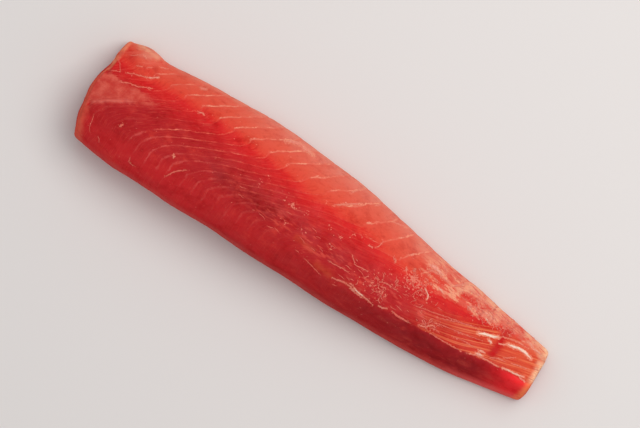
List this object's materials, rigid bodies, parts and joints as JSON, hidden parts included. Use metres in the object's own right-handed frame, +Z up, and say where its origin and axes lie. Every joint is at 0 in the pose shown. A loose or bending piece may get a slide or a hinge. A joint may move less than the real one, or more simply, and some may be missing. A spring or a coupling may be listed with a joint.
{
  "type": "tuna loin",
  "caption": "Raw skinless tuna loin, quarter-round in section and tapering to the tail, with pale muscle bands and both ends cut across; it lies on its flat inner face.",
  "frame": {"origin": "the middle of the flat face that the loin rests on", "axes": "+X from the head end to the tail end, +Y towards the fish's back, +Z up out of the resting face to the skinned side"},
  "size_m": [0.5402, 0.132, 0.08],
  "materials": {
    "flesh": "moist raw red flesh, paler and coral along the back",
    "connective": "moist pale membrane, fat flecks and tendon threads"
  },
  "bodies": {
    "root": {"tuna_loin": "flesh"}
  },
  "joints": []
}
